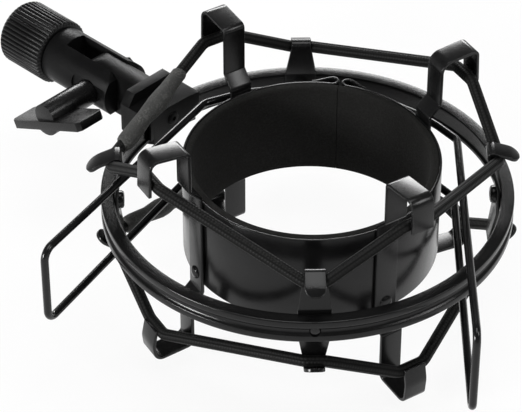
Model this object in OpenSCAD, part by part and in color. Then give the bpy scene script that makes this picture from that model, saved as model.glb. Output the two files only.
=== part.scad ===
// Elastic-suspension microphone holder. A spring-steel band lined with foam grips the microphone, and
// four straps riveted to the band end in hooks above and below. Two elastic cords run in a zigzag
// between those hooks and the posts of an outer ring, which a swivel joins to a stand thread.
// +Z is the clamp axis, the origin is the middle of the clamp, and the stand arm points along +Y.

/* [Outer ring] */
// Outside diameter of the outer ring
ring_od = 140; // [120:1:170]
// Radial thickness of the ring
ring_wall = 4.5; // [3.5:0.1:7]
// Height of the ring along the clamp axis
ring_h = 8.4; // [7:0.2:12]
// Depth of the groove round the ring's outer side
ring_groove = 1.2; // [0.4:0.1:1.8]
// Depth of the channel round the ring's inner side
ring_channel = 0.7; // [0.3:0.1:1.2]
// How far the ring's centre stands off the clamp axis, towards the stand
ring_offset = 1.8; // [0:0.1:3]

/* [Posts on the ring] */
// Sheet thickness of a post
post_t = 1.3; // [0.8:0.1:1.8]
// Width of a post where it is screwed to the ring
post_base_w = 11; // [9:0.2:14]
// Width of a post's neck and lip
post_neck_w = 7; // [6:0.1:9]
// Length of the taper between a post's foot and its neck
post_taper = 8.5; // [4:0.1:10]
// How far a post leans inwards from its foot to its top
post_lean = 2.1; // [0:0.1:3]
// Height of a post's top above the ring's middle
post_top = 19.8; // [18:0.1:27]
// Length of the flat at a post's top, from its bend to where the lip turns down
post_flat = 4.5; // [4:0.1:7]
// How far a post's lip reaches outwards from its bend
post_lip = 9.4; // [8:0.1:12]
// How far a post's lip drops from the top to its tip
post_drop = 4.6; // [3:0.1:8]
// Diameter of the screws that hold the posts
post_screw_d = 3; // [2:0.1:4]
// Diameter of those screws' heads
post_head_d = 6.2; // [5:0.1:8]

/* [Clamp band and foam] */
// Diameter of the microphone body that the foam holds
clamp_d = 80; // [60:0.5:84]
// Thickness of the foam lining
foam_t = 2.8; // [1.5:0.1:4]
// Thickness of the spring-steel band
band_t = 0.9; // [0.6:0.1:1.2]
// Height of the band along the clamp axis
band_h = 35; // [30:0.5:40]
// Azimuth of the band's split
split_az = 30; // [26:1:36]
// Gap between the two rolled ends of the band
split_gap = 1; // [0.6:0.1:3]

/* [Straps] */
// Angle from the split, or from the point opposite it, to each strap
strap_spread = 46.5; // [42:0.5:50]
// Width of a strap
strap_w = 8.3; // [6:0.1:10]
// Sheet thickness of a strap
strap_t = 1.2; // [0.8:0.1:1.6]
// Height of a hook's top above the clamp's middle
hook_top = 42.2; // [38:0.2:48]
// Length of a hook's outer leg
hook_leg = 13; // [10:0.2:16]
// Radius to the outer face of a hook's outer leg
hook_reach = 63.7; // [58:0.1:66]
// Bend radius of a hook between its top and its outer leg
hook_round = 4.8; // [3:0.1:6]
// Bend radius of a hook between its top and its inner leg
hook_crease = 2.2; // [1.9:0.1:4]
// How far a strap steps outwards above the band
strap_jog = 4.1; // [3:0.1:6]
// Height of the step's foot above the band's rim
jog_foot = 2.6; // [1.5:0.1:4]
// Height of the rivets above and below the clamp's middle
rivet_z = 13.5; // [11.5:0.1:14.5]
// Diameter of a rivet's shank
rivet_d = 2.5; // [1.6:0.1:3]
// Diameter of a rivet's head
rivet_head_d = 4.6; // [3.5:0.1:6]

/* [Levers] */
// Diameter of the levers' wire
wire_d = 2.8; // [2:0.1:3]
// Height of a lever's legs above and below the middle, beside the band
lever_z = 12.5; // [11:0.1:13.5]
// Height of a lever's legs at its handle
handle_z = 16; // [15:0.1:19]
// Depth of the left lever's lower leg at its handle, where it is bent up a little
left_low = 13.3; // [12.6:0.1:19]
// Distance of the left lever's handle from the clamp axis
left_reach = 99; // [85:0.5:110]
// Distance of the right lever's handle from the clamp axis
right_reach = 101.5; // [85:0.5:110]
// Radius of the bends at the handle
handle_bend = 4; // [2:0.1:8]

/* [Elastic cords] */
// Diameter of an elastic cord
cord_d = 4.1; // [3:0.1:4.6]
// Diameter of the sleeve that joins a cord's ends
sleeve_d = 5.7; // [5.2:0.1:7]
// Length of that sleeve
sleeve_len = 36; // [20:0.5:44]
// Height of a cord's course in the hooks
cord_hook_z = 31; // [30:0.1:34]

/* [Stand swivel] */
// Width of the block that holds the ring
block_w = 24; // [18:0.2:28]
// Height of the block's flange, outside the ring
block_h = 20; // [17:0.2:26]
// How far the block stands out from the ring
block_out_l = 8.5; // [7:0.1:10]
// Thickness of the block's flange
flange_t = 4; // [3:0.1:5]
// Wall of the block's sleeve round the ring
sleeve_wall = 1.4; // [1:0.1:2]
// Distance of the pivot from the ring's centre
pivot_r = 97.7; // [96:0.1:104]
// Diameter of the swivel's round body
clevis_d = 20.6; // [19.5:0.1:23]
// Thickness of the arm's tongue in the swivel's slot
tongue_t = 7.8; // [6:0.1:9]
// Height of the arm's tongue
tongue_h = 18.6; // [16:0.1:19]
// How far the swivel's ears reach past the pivot
ear_l = 9; // [8:0.1:10]
// Free length of the swivel's slot past the tongue
slot_free = 7.2; // [4:0.1:12]
// Length of the swivel's solid body between its slot and the nut
neck_l = 7.2; // [4:0.1:14]
// Diameter of the clamping screw's shank
pivot_d = 4.9; // [4:0.1:6]
// Diameter of the knurled stand nut
nut_d = 24; // [22:0.1:28]
// Length of the stand nut
nut_l = 21.6; // [17:0.1:28]
// Bore of the stand nut, the minor diameter of a 5/8 inch stand thread
thread_d = 14.9; // [14:0.1:16]
// Number of grooves in the nut's knurl
knurl_n = 44; // [24:1:60]

/* [Wing of the clamping screw] */
// Diameter of the wing screw's stem
stem_d = 9.6; // [8:0.1:12]
// Length of the stem outside the swivel
stem_l = 22.2; // [18:0.1:30]
// Length of the wing across the stem
wing_l = 38.9; // [28:0.1:46]
// Width of the wing along the stem
wing_w = 12.1; // [8:0.1:14]
// Thickness of the wing
wing_t = 3.2; // [2:0.1:4]
// Tilt of the wing, its ring end up
wing_tilt = 25; // [0:1:60]
// Distance of the wing's upper face below the stem's axis
wing_drop = 1.4; // [0:0.1:2.5]
// Diameter of the rounded hub under the wing
hub_d = 14; // [11:0.1:17]

/* [Fits] */
// Clearance between pieces that move past each other
run_gap = 0.3; // [0.2:0.05:0.5]
// Radial clearance of a pin or screw in its hole
pin_fit = 0.05; // [0.02:0.01:0.1]
// Play between seated sheet-metal pieces
seat_gap = 0.1; // [0.05:0.05:0.2]

/* [Hidden] */
$fn = 64;
black = [0.06, 0.06, 0.065];
steel = [0.09, 0.09, 0.1];
foam_grey = [0.16, 0.16, 0.16];
cord_grey = [0.1, 0.1, 0.1];
sleeve_grey = [0.35, 0.35, 0.36];

ring_ro = ring_od / 2;
ring_ri = ring_ro - ring_wall;
ring_c = [0, ring_offset, 0];
// Gap between the ring's two ends, which meet inside the arm's block.
ring_slit = 0.4;
post_az = [45, 135, 225, 315];
// The post is flat and the ring round, so the post's outer face stands at the chord of its width.
post_face = sqrt(pow(ring_ri - seat_gap, 2) - pow(post_base_w / 2, 2));
post_mid = post_face - post_t / 2;
post_shoulder = ring_h / 2 + 1;
post_neck_z = post_shoulder + post_taper;
post_bend_z = post_top - post_t / 2;
// The cords have set the posts' upper ends by hand-bent amounts: shares of the lean, and of the lip's
// reach and drop.
lean_by = [1, 1, 1.75, 2];
lip_by = [1, 1.25, 1, 1.15];
drop_by = [1, 1.25, 1, 0.75];
// Radius of the bend at a post's upper (1) or lower (-1) end.
function post_bend_r(i, s) = post_mid - post_lean * (s > 0 ? lean_by[i] : 1);
function post_tip_r(i, s) = post_bend_r(i, s) + post_lip * (s > 0 ? lip_by[i] : 1);
head_h = 1.8;
arm_screw_d = 4;
arm_head_d = 5.4;
arm_head_h = 1.6;
shank_end = ring_ro - ring_groove + 0.5;

foam_ri = clamp_d / 2;
band_ri = foam_ri + foam_t;
band_ro = band_ri + band_t;
wire_r = wire_d / 2;
eye_ri = wire_r + pin_fit;
eye_ro = eye_ri + band_t;
eye_r = band_ri + eye_ro;
eye_side = eye_ro + split_gap / 2;
eye_az = asin(eye_side / eye_r);
// The rolled ends are cut away where the levers' legs leave them.
notch_lo = lever_z - wire_r - 0.7;
notch_hi = lever_z + wire_r + 0.7;

strap_face = band_ro + seat_gap;
strap_mid = strap_face + strap_t / 2;
strap_leg = strap_mid + strap_jog;
jog_z = band_h / 2 + jog_foot;
leg_mid = hook_reach - strap_t / 2;
strap_az = [split_az + strap_spread, split_az + 180 - strap_spread,
            split_az + 180 + strap_spread, split_az - strap_spread];
// The hooks are bent by hand too: how far each upper and lower end stands beyond hook_top, and how much
// further down its leg reaches.
hook_up = [2, 0, 0, 0.4];
hook_down = [1, 1.2, 2.2, 1];
leg_up = [1.6, 1.4, 0, 0];
leg_down = [0, -0.6, 0, 0];

// A lever's course in plan, as angle from the split and radius, from its eye to its last bend.
// The radii leave room for the lever to swing in against the band.
bend_az = 57.9;
lever_course = [[9, eye_r + 0.7], [16, band_ro + 2.6], [26, band_ro + 3.4], [37, band_ro + 4.9],
                [47, strap_face + strap_t + 5.1], [bend_az, strap_face + strap_t + 7.6]];
// Angle from the split, seen from the ring's centre, where a lever passes the ring between two posts.
cross_az = 114.8;
eye_bend = 2.2;

// A cord runs outside the posts' necks, under their lips, and inside the hooks' outer legs.
cord_r = cord_d / 2;
cord_post_z = post_top - post_t - cord_r - 0.7;
function cord_post_r(i, s) = post_face + run_gap + cord_r + 0.15
    - (post_mid - post_bend_r(i, s)) * (cord_post_z - post_shoulder) / (post_bend_z - post_shoulder);
cord_hook_r = hook_reach - strap_t - run_gap - cord_r;
cord_post_side = post_neck_w / 2 + 1.7;
cord_hook_side = 5;
cord_ease = 2.6;
sleeve_start = 3.4;

block_ri = ring_ri - 0.9;
block_out = ring_ro + block_out_l;
flange_cut = [block_w / 2 - 3.2, block_h / 2 - 4.4];
slot_w = tongue_t + 2 * run_gap;
clevis_tip = pivot_r - ear_l;
slot_end = pivot_r + tongue_h / 2 + slot_free;
clevis_end = slot_end + neck_l;
ear_flat = clevis_d / 2 - 0.8;
stub_d = 11.9;
web = 3;
nut_start = clevis_end + run_gap;
retainer_t = 1.8;
relief = 2 * run_gap + retainer_t;
hex_af = 8;
hex_h = 3.2;

function unit(v) = v / norm(v);
function polar(r, a, z = 0) = [r * cos(a), r * sin(a), z];

// Points of a round of radius r in place of the corner b between a and c.
function corner(a, b, c, r, n) =
    let (u = unit(a - b), v = unit(c - b), half = acos(u * v) / 2,
         o = b + unit(u + v) * r / sin(half), s = b + u * r / tan(half) - o, e = b + v * r / tan(half) - o)
    [for (i = [0:n]) o + r * unit(s * (1 - i / n) + e * i / n)];

// A path with its inner corners rounded, each by its own radius.
function rounded(p, radii, n = 4) =
    concat([p[0]], [for (i = [1:len(p) - 2]) each corner(p[i - 1], p[i], p[i + 1], radii[i - 1], n)],
           [p[len(p) - 1]]);

// Closed outline of a sheet of thickness t whose middle follows the plane path p.
function sheet(p, t) =
    let (m = len(p) - 1,
         side = [for (i = [0:m]) let (d = unit(p[min(i + 1, m)] - p[max(i - 1, 0)])) [-d[1], d[0]] * t / 2])
    concat([for (i = [0:m]) p[i] + side[i]], [for (i = [m:-1:0]) p[i] - side[i]]);

// A list followed by itself from end to start.
function there_and_back(r) = concat(r, [for (i = [len(r) - 1:-1:0]) r[i]]);

// One tube of radius r along the points p, whose rings are turned to the directions up.
module tube(p, up, r, sides, loop = false) {
    n = len(p);
    rings = [for (i = [0:n - 1])
        let (a = loop ? p[(i + n - 1) % n] : p[max(i - 1, 0)],
             b = loop ? p[(i + 1) % n] : p[min(i + 1, n - 1)],
             t = unit(b - a), s = unit(up[i] - (up[i] * t) * t), w = cross(t, s))
        each [for (k = [0:sides - 1]) p[i] + r * (cos(360 * k / sides) * s + sin(360 * k / sides) * w)]];
    walls = [for (i = [0:(loop ? n - 1 : n - 2)], k = [0:sides - 1])
        let (j = (i + 1) % n, h = (k + 1) % sides,
             a = i * sides + k, b = i * sides + h, c = j * sides + h, d = j * sides + k)
        each [[a, d, c], [a, c, b]]];
    caps = loop ? [] : [[for (k = [0:sides - 1]) k], [for (k = [sides - 1:-1:0]) (n - 1) * sides + k]];
    polyhedron(rings, concat(walls, caps));
}

// Stands a profile of radius and height upright at azimuth az, as a plate of width w.
module upright(az, w, centre = [0, 0, 0]) {
    translate(centre) rotate([0, 0, az]) rotate([90, 0, 0]) linear_extrude(w, center = true) children();
}

// Points a drill or screw along +Z outwards at azimuth az and height z.
module outwards(az, z, centre = [0, 0, 0]) {
    translate(centre) rotate([0, 0, az]) translate([0, 0, z]) rotate([0, 90, 0]) children();
}

module ring_outline(grow = 0) {
    ridge = 1.7;
    half = ring_h / 2 + grow;
    difference() {
        translate([ring_ri - grow, -half]) square([ring_wall + 2 * grow, 2 * half]);
        if (grow == 0) {
            translate([ring_ro + ridge - ring_groove, 0]) circle(ridge);
            translate([ring_ri - ring_channel, -half + 1.3]) square([2 * ring_channel, 2 * half - 2.6]);
            for (s = [-1, 1]) difference() {
                translate([ring_ro - 1, s * (half - 0.5) - 0.5]) square([1.01, 1]);
                translate([ring_ro - 1, s * (half - 1)]) circle(1);
            }
        }
    }
}

module outer_ring() {
    color(black) difference() {
        translate(ring_c) rotate_extrude($fn = 128) ring_outline();
        for (a = post_az) outwards(a, 0, ring_c) cylinder(d = post_screw_d + 2 * pin_fit, h = ring_od);
        outwards(90, 0, ring_c) cylinder(d = arm_screw_d + 2 * pin_fit, h = ring_od);
        translate([-ring_slit / 2, ring_offset, -ring_h]) cube([ring_slit, ring_od, 2 * ring_h]);
    }
}

// A post is a bent plate: a waisted plate on the ring's inner side that leans inwards towards both of
// its ends, with a spoon-shaped lip at each.
module post(i) {
    az = post_az[i];
    path = rounded(concat(post_half(i, 1), back(post_half(i, -1))), there_and_back([3, 1.5, 4]));
    color(black) difference() {
        intersection() {
            upright(az, post_base_w, ring_c) polygon(sheet(path, post_t));
            translate(ring_c) rotate([0, 0, az]) union() {
                rotate([90, 0, 90]) linear_extrude(post_face + 0.2) polygon(post_front());
                for (s = [-1, 1]) mirror([0, 0, s < 0 ? 1 : 0]) translate([0, 0, post_shoulder])
                    linear_extrude(post_top) lip_plan(post_tip_r(i, s));
            }
        }
        outwards(az, 0, ring_c) cylinder(d = post_screw_d + 2 * pin_fit, h = ring_od);
    }
}

// Side view of one end of a post, from the tip of its lip to the ring.
function post_half(i, s) = let (r = post_bend_r(i, s), z = post_bend_z)
    [[post_tip_r(i, s), s * (z - post_drop * (s > 0 ? drop_by[i] : 1))], [r + post_flat, s * z], [r, s * z],
     [post_mid, s * post_shoulder]];
function back(list) = [for (i = [len(list) - 1:-1:0]) list[i]];

module lip_plan(tip) {
    translate([post_face, -post_neck_w / 2]) square([tip - post_neck_w / 2 - post_face, post_neck_w]);
    translate([tip - post_neck_w / 2 + 0.2, 0]) circle(d = post_neck_w);
}

function post_front() =
    let (half = [[post_neck_w / 2, post_top + 1], [post_neck_w / 2, post_neck_z], [post_base_w / 2, post_shoulder]],
         right = concat(half, [for (i = [2:-1:0]) [half[i][0], -half[i][1]]]))
    concat(right, [for (i = [5:-1:0]) [-right[i][0], right[i][1]]]);

module post_screws() {
    seat = post_mid - post_t / 2;
    color(steel) for (a = post_az) outwards(a, 0, ring_c) {
        translate([0, 0, seat]) cylinder(d = post_screw_d, h = shank_end - seat);
        difference() {
            translate([0, 0, seat - head_h]) cylinder(d1 = post_head_d - 1, d2 = post_head_d, h = head_h);
            translate([0, 0, seat - head_h - 0.01]) cylinder(d = 2.4, h = 0.9, $fn = 6);
        }
    }
}

// The arm's block: a sleeve that holds the ring's two ends, a flange with its corners cut off, and a
// tongue that carries the pivot.
module arm_block() {
    sleeve_h = ring_h + 2 * seat_gap + 2 * sleeve_wall;
    color(black) translate(ring_c) difference() {
        union() {
            translate([-block_w / 2, 0, -sleeve_h / 2]) cube([block_w, block_out - flange_t / 2, sleeve_h]);
            translate([0, block_out, 0]) rotate([90, 0, 0]) linear_extrude(flange_t) polygon(flange_front());
            intersection() {
                union() {
                    translate([0, block_out - 1, 0]) rotate([-90, 0, 0]) cylinder(d = tongue_h, h = pivot_r - block_out + 1);
                    translate([0, pivot_r, 0]) rotate([0, 90, 0]) cylinder(d = tongue_h, h = clevis_d, center = true);
                }
                translate([-tongue_t / 2, block_out - 1, -tongue_h]) cube([tongue_t, pivot_r, 2 * tongue_h]);
            }
        }
        cylinder(r = block_ri, h = block_h, center = true, $fn = 128);
        rotate_extrude($fn = 128) ring_outline(seat_gap);
        outwards(90, 0) cylinder(d = arm_screw_d + 2 * pin_fit, h = block_out - 2);
        translate([0, pivot_r, 0]) rotate([0, 90, 0]) cylinder(d = pivot_d + 2 * pin_fit, h = clevis_d, center = true);
    }
}

function flange_front() = let (x = block_w / 2, z = block_h / 2, c = flange_cut)
    [[c[0], z], [x, c[1]], [x, -c[1]], [c[0], -z], [-c[0], -z], [-x, -c[1]], [-x, c[1]], [-c[0], z]];

module arm_screw() {
    seat = sqrt(pow(block_ri, 2) - pow(arm_head_d / 2, 2)) - 0.02;
    color(steel) outwards(90, 0, ring_c) {
        translate([0, 0, seat]) cylinder(d = arm_screw_d, h = block_out - 4 - seat);
        difference() {
            translate([0, 0, seat - arm_head_h]) cylinder(d1 = arm_head_d - 0.8, d2 = arm_head_d, h = arm_head_h);
            translate([0, 0, seat - arm_head_h - 0.01]) cylinder(d = 2.4, h = 1.1, $fn = 6);
        }
    }
}

// A cord's bearing points in order: at each post, then at the next hook, s above (1) or below (-1).
function cord_turns(s) = [for (i = [0:3]) each [
    each [for (t = [-1, 1]) ring_c + polar(cord_post_r(i, s), post_az[i], s * cord_post_z)
          + polar(t * cord_post_side, post_az[i] + 90)],
    each [for (t = [-1, 1]) polar(cord_hook_r, strap_az[i], s * cord_hook_z)
          + polar(t * cord_hook_side, strap_az[i] + 90)]]];
function cord_path(s) = let (v = cord_turns(s), n = len(v)) [for (i = [0:n - 1]) each [
    v[i] + unit(v[(i + n - 1) % n] - v[i]) * cord_ease, v[i] + unit(v[(i + 1) % n] - v[i]) * cord_ease]];

// The stretch of cord that the joining sleeve covers, from a hook to the back left post.
function sleeve_ends(s) = let (v = cord_turns(s), a = v[4], d = unit(v[3] - v[4]))
    [a + d * sleeve_start, a + d * (sleeve_start + sleeve_len)];

module cord(s) {
    path = cord_path(s);
    color(cord_grey) tube(path, [for (p = path) [0, 0, 1]], cord_r, 8, true);
}

// Rubber sleeve over the joint of a cord's ends, swollen past its middle and tapered at both ends.
module sleeve(s) {
    e = sleeve_ends(s);
    r = sleeve_d / 2;
    swell = [[0, 0.88], [0.12, 1], [0.45, 0.96], [0.6, 1.04], [0.85, 1], [1, 0.86]];
    color(sleeve_grey) along(e[0], e[1]) rotate_extrude($fn = 32) polygon(concat(
        [for (k = swell) [r * k[1], sleeve_len * k[0]]],
        [[cord_r + pin_fit, sleeve_len], [cord_r + pin_fit, 0]]));
}

// Turns +Z to the direction from a to b, starting at a.
module along(a, b) {
    d = b - a;
    translate(a) rotate([0, acos(d[2] / norm(d)), atan2(d[1], d[0])]) children();
}

// Plan of the band: a split hoop whose two ends are rolled outwards into eyes for the levers.
module band_plan() {
    difference() {
        circle(band_ro, $fn = 128);
        circle(band_ri, $fn = 128);
        translate([0, -eye_side]) square([band_ro + 1, 2 * eye_side]);
    }
    for (s = [-1, 1]) mirror([0, s < 0 ? 1 : 0]) difference() {
        translate([sqrt(eye_r * eye_r - eye_side * eye_side), eye_side]) circle(eye_ro, $fn = 32);
        translate([sqrt(eye_r * eye_r - eye_side * eye_side), eye_side]) circle(eye_ri, $fn = 32);
        rotate(eye_az) translate([band_ro + 0.05, 0.6]) square([0.7, eye_ro]);
    }
}

module clamp_band() {
    color(black) difference() {
        rotate([0, 0, split_az]) difference() {
            translate([0, 0, -band_h / 2]) linear_extrude(band_h) band_plan();
            for (s = [-1, 1]) translate([band_ro + 0.03, -2 * eye_ro - split_gap, s > 0 ? notch_lo : -notch_hi])
                cube([2 * eye_ro, 4 * eye_ro + 2 * split_gap, notch_hi - notch_lo]);
        }
        rivet_holes();
    }
}

module rivet_holes() {
    for (a = strap_az, s = [-1, 1]) outwards(a, s * rivet_z)
        translate([0, 0, band_ri - 1]) cylinder(d = rivet_d + 2 * pin_fit, h = strap_leg - band_ri, $fn = 32);
}

module foam_liner() {
    slit = 0.35;
    edge = 0.9;
    out = band_ri - seat_gap;
    color(foam_grey) rotate([0, 0, split_az + slit]) rotate_extrude(angle = 360 - 2 * slit, $fn = 128) difference() {
        translate([foam_ri, -band_h / 2]) square([out - foam_ri, band_h]);
        for (s = [-1, 1]) difference() {
            translate([foam_ri - 0.01, s * (band_h / 2 - edge / 2) - edge / 2]) square([edge + 0.01, edge]);
            translate([foam_ri + edge, s * (band_h / 2 - edge)]) circle(edge, $fn = 32);
        }
    }
}

// A strap is one bent steel strip: flat on the band, stepped outwards, with a square hook at each end.
module strap(i) {
    path = rounded(concat(strap_half(i, 1), back(strap_half(i, -1))),
                   there_and_back([hook_round, hook_crease, 1.2, 1.2]));
    color(black) difference() {
        upright(strap_az[i], strap_w) polygon(sheet(path, strap_t));
        rivet_holes();
    }
}

// Side view of one end of a strap, from the end of its hook to the band.
function strap_half(i, s) =
    let (top = hook_top - strap_t / 2 + (s > 0 ? hook_up[i] : hook_down[i]),
         end = hook_top - hook_leg - (s > 0 ? leg_up[i] : leg_down[i]))
    [[leg_mid, s * end], [leg_mid - 0.5, s * top], [strap_leg, s * (top - 1.3)],
     [strap_leg, s * (jog_z + strap_jog)], [strap_mid, s * jog_z]];

module rivets(azimuths) {
    top = strap_face + strap_t;
    color(steel) for (a = azimuths, s = [-1, 1]) outwards(a, s * rivet_z) {
        translate([0, 0, band_ri + 0.1]) cylinder(d = rivet_d, h = top - band_ri, $fn = 32);
        translate([0, 0, top]) cylinder(d1 = rivet_head_d, d2 = rivet_head_d - 1.6, h = 0.8, $fn = 32);
    }
}

// The point at distance r from the axis on the line from a through b.
function far_point(a, b, r) = let (d = unit(b - a)) a + d * (sqrt(pow(a * d, 2) - a * a + r * r) - a * d);

// Points and ring directions of the upper half of a lever's wire, from its eye to the handle, which stands
// as high as given.
function lever_half(side, reach, high) =
    let (bend = polar(lever_course[5][1], bend_az),
         cross = [ring_offset * sin(split_az), side * ring_offset * cos(split_az), 0] + polar(ring_ri, cross_az),
         plan = rounded(concat([polar(eye_r, eye_az)], [for (c = lever_course) polar(c[1], c[0])],
                               [far_point(bend, cross, reach)]),
                        [for (i = [1:len(lever_course)]) i < len(lever_course) ? 9 : 5], 2),
         m = len(plan) - 1, rise = (high - lever_z) / norm(plan[m] - bend),
         out = [for (i = [0:m]) let (d = unit(plan[min(i + 1, m)] - plan[max(i - 1, 0)])) [d[1], -d[0], 0]],
         lift = [for (p = plan) max(0, norm(plan[m] - bend) - norm(plan[m] - p)) * rise],
         leg = [for (i = [1:m - 1]) [plan[i][0], plan[i][1], lever_z + lift[i]]],
         eye = plan[0], end = plan[m],
         start = corner(eye, eye + [0, 0, lever_z], leg[0], eye_bend, 3),
         turn = corner(leg[m - 2], end + [0, 0, high], end, handle_bend, 5),
         upper = concat([eye + [0, 0, lever_z - eye_bend - 0.6]], start, leg, turn))
    [upper, concat([for (i = [0:4]) out[0]], [for (i = [1:m - 1]) out[i]], [for (i = [0:5]) out[m]])];

// Points of a whole lever and the directions of its rings, from the upper half and the lower one.
function lever_wire(side, reach, low) = let (a = lever_half(side, reach, handle_z), b = lever_half(side, reach, low))
    [concat([for (p = a[0]) [p[0], side * p[1], p[2]]], [for (p = back(b[0])) [p[0], side * p[1], -p[2]]]),
     [for (u = concat(a[1], back(b[1]))) [u[0], side * u[1], u[2]]]];

module lever(side, reach, low) {
    w = lever_wire(side, reach, low);
    color(steel) rotate([0, 0, split_az]) {
        tube(w[0], w[1], wire_r - 0.01, 12);
        translate([sqrt(eye_r * eye_r - eye_side * eye_side), side * eye_side, 0])
            cylinder(d = wire_d, h = 2 * (lever_z - eye_bend), center = true, $fn = 32);
    }
}

// Round body of the swivel, slotted for the tongue, with a stub that the stand nut turns on.
module clevis() {
    color(black) translate(ring_c) difference() {
        union() {
            translate([0, clevis_tip, 0]) rotate([-90, 0, 0]) cylinder(d = clevis_d, h = clevis_end - clevis_tip);
            translate([0, clevis_end, 0]) rotate([-90, 0, 0])
                cylinder(d = stub_d, h = nut_start + web + run_gap + retainer_t - clevis_end);
        }
        translate([-slot_w / 2, clevis_tip - 1, -clevis_d]) cube([slot_w, slot_end - clevis_tip + 1, 2 * clevis_d]);
        for (s = [-1, 1]) translate([s * (ear_flat + clevis_d / 2), pivot_r, 0])
            rotate([0, 90, 0]) cylinder(d = clevis_d - 4, h = clevis_d, center = true);
        translate([0, pivot_r, 0]) rotate([0, 90, 0]) cylinder(d = pivot_d + 2 * pin_fit, h = 2 * clevis_d, center = true);
        translate([ear_flat - hex_h / 2, pivot_r, 0]) rotate([0, 90, 0])
            cylinder(d = (hex_af + 2 * seat_gap) / cos(30), h = clevis_d, $fn = 6);
        for (s = [0, 1]) mirror([0, 0, s]) translate([0, clevis_tip, clevis_d / 2]) rotate([45, 0, 0])
            cube([2 * clevis_d, 5, 5], center = true);
    }
}

module pivot_nut() {
    color(steel) translate(ring_c + [ear_flat - hex_h / 2, pivot_r, 0]) rotate([0, 90, 0]) difference() {
        cylinder(d = hex_af / cos(30), h = hex_h, $fn = 6);
        translate([0, 0, -1]) cylinder(d = pivot_d + 2 * pin_fit, h = hex_h + 2);
    }
}

// Washer riveted on the stub, which keeps the nut on the swivel.
module nut_retainer() {
    color(steel) translate(ring_c + [0, nut_start + web + run_gap, 0]) rotate([-90, 0, 0]) difference() {
        cylinder(d = thread_d - 2 * run_gap, h = retainer_t);
        translate([0, 0, -1]) cylinder(d = stub_d, h = retainer_t + 2);
    }
}

// Clamping screw: shank through the ears, a stem, and a flat wing across the stem's outer end with a
// half-round hub under it.
module wing_screw() {
    shoulder = ear_flat + run_gap;
    edge = 0.7;
    end = -shoulder - stem_l;
    color(black) translate(ring_c + [0, pivot_r, 0]) rotate([-wing_tilt, 0, 0]) {
        translate([-shoulder - 0.5, 0, 0]) rotate([0, 90, 0]) cylinder(d = pivot_d, h = shoulder + ear_flat + 2.5);
        translate([end + edge, 0, 0]) rotate([0, 90, 0]) cylinder(d = stem_d, h = stem_l - edge);
        translate([end, 0, 0]) rotate([0, 90, 0]) cylinder(d1 = stem_d - 2 * edge, d2 = stem_d, h = edge);
        translate([end + wing_w / 2, 0, -wing_drop - wing_t]) linear_extrude(wing_t) wing_plan();
        difference() {
            translate([end + edge, 0, 0]) rotate([0, 90, 0]) cylinder(d = hub_d, h = wing_w - 2 * edge);
            translate([end, -hub_d, -wing_drop - wing_t / 2]) cube([wing_w, 2 * hub_d, hub_d]);
        }
    }
}

module wing_plan() {
    c = 1.4;
    x = wing_w / 2;
    y = wing_l / 2;
    polygon([[x - c, y], [c - x, y], [-x, y - c], [-x, c - y], [c - x, -y], [x - c, -y], [x, c - y], [x, y - c]]);
}

module stand_nut() {
    groove = 0.55;
    color(black) translate(ring_c + [0, nut_start, 0]) rotate([-90, 0, 0]) difference() {
        intersection() {
            linear_extrude(nut_l) polygon([for (i = [0:2 * knurl_n - 1])
                (nut_d / 2 - (i % 2) * groove) * [cos(180 * i / knurl_n), sin(180 * i / knurl_n)]]);
            rotate_extrude() polygon([[0, 0], [nut_d / 2 - 0.7, 0], [nut_d / 2 + 0.1, 0.8],
                                      [nut_d / 2 + 0.1, nut_l - 1.6], [nut_d / 2 - 1.5, nut_l], [0, nut_l]]);
        }
        translate([0, 0, web]) cylinder(d = thread_d, h = nut_l);
        translate([0, 0, web]) cylinder(d = thread_d + 1, h = relief);
        translate([0, 0, -1]) cylinder(d = stub_d + 2 * pin_fit, h = web + 2);
        translate([0, 0, nut_l - 0.8]) cylinder(d1 = thread_d, d2 = thread_d + 1.7, h = 0.81);
    }
}

outer_ring();
post(0);  // post_back_right
post(1);  // post_back_left
post(2);  // post_front_left
post(3);  // post_front_right
post_screws();
arm_block();
arm_screw();
cord(1);  // upper_cord
cord(-1);  // lower_cord
sleeve(1);  // upper_sleeve
sleeve(-1);  // lower_sleeve
clamp_band();
foam_liner();
strap(0);  // strap_left_rear
strap(1);  // strap_left_front
strap(2);  // strap_right_front
strap(3);  // strap_right_rear
rivets([strap_az[0], strap_az[1]]);  // rivets_left
rivets([strap_az[2], strap_az[3]]);  // rivets_right
lever(1, left_reach, left_low);  // lever_left
lever(-1, right_reach, handle_z);  // lever_right
clevis();
pivot_nut();
nut_retainer();
wing_screw();
stand_nut();
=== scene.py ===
"""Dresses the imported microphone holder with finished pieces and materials, and sets the studio."""

from math import acos, asin, cos, degrees, pi, radians, sin, sqrt, tan
from types import SimpleNamespace

import bmesh
import bpy
import numpy as np
from bpy.props import FloatProperty, FloatVectorProperty, IntProperty, PointerProperty
from mathutils import Matrix, Vector
from numpy.linalg import norm


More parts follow.
